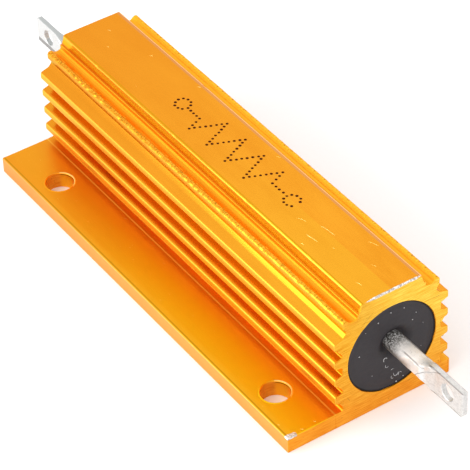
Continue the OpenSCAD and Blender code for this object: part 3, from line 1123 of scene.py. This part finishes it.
# %% [markdown]
# Each terminal is a tinned rod, pressed flat at its outer end and pierced for
# the lead. The press squeezes the round rod between two jaws: the sides become
# flat, the height grows, and a slanting step shows where the jaws stopped. A
# ring that turns from round to nearly square gives it, cut by two flats that
# close in from the rod to the blade.

# %% The pressed shape of a terminal
blade_half, blade_thin = 2.65, 0.5      # half the blade's height and thickness
rod_from = 34.0                         # hidden in the cement, 1 mm outside the cap
near_flat_from, far_flat_from = 55.7, 57.6
fold_back = 2.9                         # the step lies this far before the flat


def ease(x, start, length):
    """A smooth rise from 0 at start to 1 after length."""
    t = max(0.0, min(1.0, (x - start) / length))
    return t * t * (3 - 2 * t)


def corner_cut(radius, to_tip):
    """How much a rounded corner of the blade takes off, this far from the tip."""
    return radius - math.sqrt(max(0.0, radius ** 2 - max(0.0, radius - to_tip) ** 2))


def lug(end, rod_y, rod_z, flat_from, reach, soft_top, soft_low):
    """A terminal's skin, along end (+1 or -1 on x) out to reach."""
    squeeze_from = flat_from - 8.4
    places = [rod_from, rod_from + 1.0] + evenly(rod_from + 1.0, squeeze_from, 5)
    places += evenly(squeeze_from, flat_from + 0.3, 44) + evenly(flat_from + 0.3, reach - 0.9, 10)
    places += [reach - 0.9 + 0.9 * math.sin(math.pi / 2 * i / 9) for i in range(1, 10)]
    loops = []
    for x in places:
        wide = rod_r + (blade_half - rod_r) * ease(x, flat_from - 4.2, 4.2)
        square = 1 - 0.72 * ease(x, flat_from - 2.6, 2.6)
        thick = rod_r + (0.60 - rod_r) * ease(x, flat_from - 3.4, 4.0)
        creased = rod_r * (1.02 - 0.33 * ease(x, squeeze_from, 3.0))
        pressed = rod_r * 0.24 * ease(x, flat_from - fold_back, 0.9)
        closing = (rod_r * 0.45 - blade_thin) * ease(x, flat_from - 2.4, 2.9)
        to_tip = reach - x
        limit = max(blade_thin, creased - pressed - closing) - 0.10 * max(0.0, 1 - to_tip / 0.22)
        loop = []
        for a in angles(72):
            y = thick * math.copysign(abs(math.cos(a)) ** square, math.cos(a))
            z = wide * math.copysign(abs(math.sin(a)) ** square, math.sin(a))
            # the die leaves one slanting step on the outer face, where it closed last
            behind_fold = 1 - ease(x, flat_from - fold_back + 1.2 * z + 0.15 * z * z, 0.3)
            y = max(-limit - 0.16 * behind_fold * (1 - ease(x, flat_from - 1.0, 2.0)), min(limit, y))
            z = max(corner_cut(soft_low, to_tip) - wide, min(wide - corner_cut(soft_top, to_tip), z))
            uneven = 0.03 * noise.noise(Vector((x * 0.7, a * 1.3, rod_y + end)))
            loop.append((end * x, rod_y + y + uneven, rod_z + z + uneven))
        loops.append(loop)
    metal = bmesh.new()
    rows = sweep(metal, loops)
    metal.faces.new(rows[-1])
    metal.faces.new(list(reversed(rows[0])))
    return metal


print("a blade is", 2 * blade_half, "high and", 2 * blade_thin, "thick")

# %% [markdown]
# The tin is dull and crumpled, and greyer on the pressed blade. Soil from the
# resin climbs up the rod, thick at the root and patchy further out. Painted
# shade darkens the rod's lower side next to the root and a streak along its
# far side. The places are measured from the sawn face along the rod, and from
# the near rod's axis.

# %% Tin: crumpled skin, soil, painted shade and the pressed blade
tinned, tin = new_finish("tinned_terminal")
place = place_mm(tin)
tx, ty, tz = split(place)
away = abs(tx) - body_half              # from the sawn face outwards
up, left_of_rod = tz - near_z, near_y - ty
drawn = grain(place, (0.5, 3.0, 3.0), 3.0, 0.6)
lumps = grain(place, (1.1, 1.1, 1.1), 3.0, 0.6)
specks = grain(place, (3.2, 3.6, 3.6), 3.0, 0.7)
crumple = grain(place, (1.6, 2.4, 2.4), 4.0, 0.8)
soil = fade(away + 2.2 * lumps + 1.0 * specks, 1.9, 5.6)
# painted shade: the lower side of the rod next to the root
root_low_shade = (step(left_of_rod, 0.7, 1.3) * fade(away + 1.5 * lumps, 4.6, 7.0)
            * fade(tz, near_z - 0.5, near_z + 1.0))
# painted shade: a dark streak along the rod's far side
far_side_shade = step(ty, near_y + 0.75, near_y + 1.15) * fade(away, 8.5, 10.0) * step(tz, near_z - 0.6, near_z + 0.2)
blade_zone = step(away, 6.5, 9.8)
pressed_tin = blend_colours(step(crumple, 0.40, 0.62), (0.64, 0.625, 0.61), (0.51, 0.495, 0.48))
tin_colour = coat(blend_colours(drawn, (0.72, 0.70, 0.685), (0.88, 0.87, 0.86)),
                  (0.55 * step(crumple, 0.56, 0.66), (0.34, 0.32, 0.31)),
                  (0.85 * root_low_shade, (0.20, 0.15, 0.12)),
                  (0.85 * far_side_shade, (0.10, 0.085, 0.075)),
                  (0.90 * blade_zone, pressed_tin))
print("tin: skin in", len(tin.tree.nodes), "nodes")

# %% [markdown]
# Fine dark lines of painted shade finish the tin: along the blade's corners,
# along the slanting step, and along one crease on the rod. The far blade is
# cleaner: its sides are an even grey, and its upper edge a darker one of painted
# shade, picked out by the way it faces. The soil goes over everything.

# %% Tin: the far blade and the press marks, with painted shade
_, facing_y, facing_z = split(tin.add("ShaderNodeNewGeometry", out="Normal"))
far_end = fade(tx, -47.0, -46.0)
# painted shade: dark lines along the blade's corners, the step and the crease
corner_shade_line = blade_zone * step(abs(ty - near_y), 0.36, 0.46) * step(abs(up), 2.30, 2.48)
outer = step(left_of_rod, 0.3, 0.45)
fold_middle = near_flat_from - fold_back + 0.15 - body_half
fold = away - fold_middle - 1.2 * up - 0.15 * up * up
fold_shade_line = outer * between(fold, -0.16, -0.05, 0.05, 0.16) * step(tx, 0.0, 1.0)
crease_shade = outer * between(away, 3.0, 4.0, 8.4, 9.0) * between(up, 1.20, 1.28, 1.36, 1.44)
tin_colour = coat(tin_colour,
                  (0.8 * far_end * step(abs(facing_y), 0.6, 0.8), (0.59, 0.60, 0.595)),
                  # painted shade: the far blade's upward faces are darker
                  (0.9 * far_end * step(facing_z, 0.55, 0.75), (0.38, 0.40, 0.40)),
                  (0.75 * corner_shade_line + 0.75 * fold_shade_line + 0.65 * crease_shade, (0.14, 0.13, 0.125)),
                  (soil * (0.35 + 0.65 * step(specks, 0.36, 0.56)), (0.040, 0.035, 0.031)))
close(tin, {"Base Color": tin_colour, "Metallic": 0.40 + 0.2 * blade_zone - 0.30 * soil,
            "Roughness": 0.32 + 0.16 * lumps + 0.16 * soil},
      0.5 * lumps + 0.4 * drawn + 0.6 * crumple, 0.40, 0.12)
print("tin finish has", len(tin.tree.nodes), "nodes")

# %% [markdown]
# Each blade is pierced by a punch, which rounds the hole's mouth on both
# sides, so the cutter is a waisted spool: wide at its ends, narrow between.

# %% Terminals
eyelet_from_tip = 4.0
punch = [(2.2, -1.2), (1.62, -0.52), (1.5, -0.40), (1.5, 0.40), (1.62, 0.52), (2.2, 1.2)]
for name, node, end, rod_y, rod_z, flat_from, reach, soft_top, soft_low in (
        ("terminal_lug_near", "terminal_near", 1, near_y, near_z, near_flat_from, near_high.x, 0.35, 0.95),
        ("terminal_lug_far", "terminal_far", -1, far_y, far_z, far_flat_from, -far_low.x, 0.8, 0.5)):
    metal = lug(end, rod_y, rod_z, flat_from, reach, soft_top, soft_low)
    piece = finish_piece(name, metal, [tinned], node)
    eyelet = bmesh.new()
    turned(eyelet, punch, (end * (reach - eyelet_from_tip), rod_y, rod_z), (0, 1, 0))
    carve(piece, eyelet)

# %% [markdown]
# Inside, a ceramic core carries the winding between two pressed caps, set in
# cement. Nobody sees these parts while the housing is whole, but a cut-away
# or an exploded view would, so each keeps its solid and gets its own finish.

# %% Inner parts keep their solids
def inner_finish(name, low, high, metallic, rough, size, strength=0.2):
    material, made = new_finish(name)
    cloud = grain(place_mm(made), size, 4.0, 0.6)
    close(made, {"Base Color": blend_colours(cloud, low, high), "Metallic": metallic,
                 "Roughness": rough + 0.15 * cloud}, cloud, strength)
    return material


ceramic = inner_finish("core_ceramic", (0.70, 0.66, 0.58), (0.82, 0.79, 0.72), 0.0, 0.45, (1.5, 1.5, 1.5))
alloy = inner_finish("resistance_alloy", (0.36, 0.32, 0.28), (0.52, 0.47, 0.42), 1.0, 0.28, (4.0, 4.0, 4.0))
cap_tin = inner_finish("tinned_cap", (0.62, 0.61, 0.60), (0.80, 0.79, 0.78), 1.0, 0.22, (0.4, 3.0, 3.0))
cement = inner_finish("potting_cement", (0.34, 0.32, 0.29), (0.50, 0.48, 0.44), 0.0, 0.75,
                      (2.0, 2.0, 2.0), 0.4)
inner = {"ceramic_core": ceramic, "resistance_winding": alloy, "end_cap_near": cap_tin,
         "end_cap_far": cap_tin, "potting_fill": cement}
for node, material in inner.items():
    for slot in frame["nodes"][node].material_slots:
        slot.material = material
print("inner parts finished:", ", ".join(sorted(inner)))
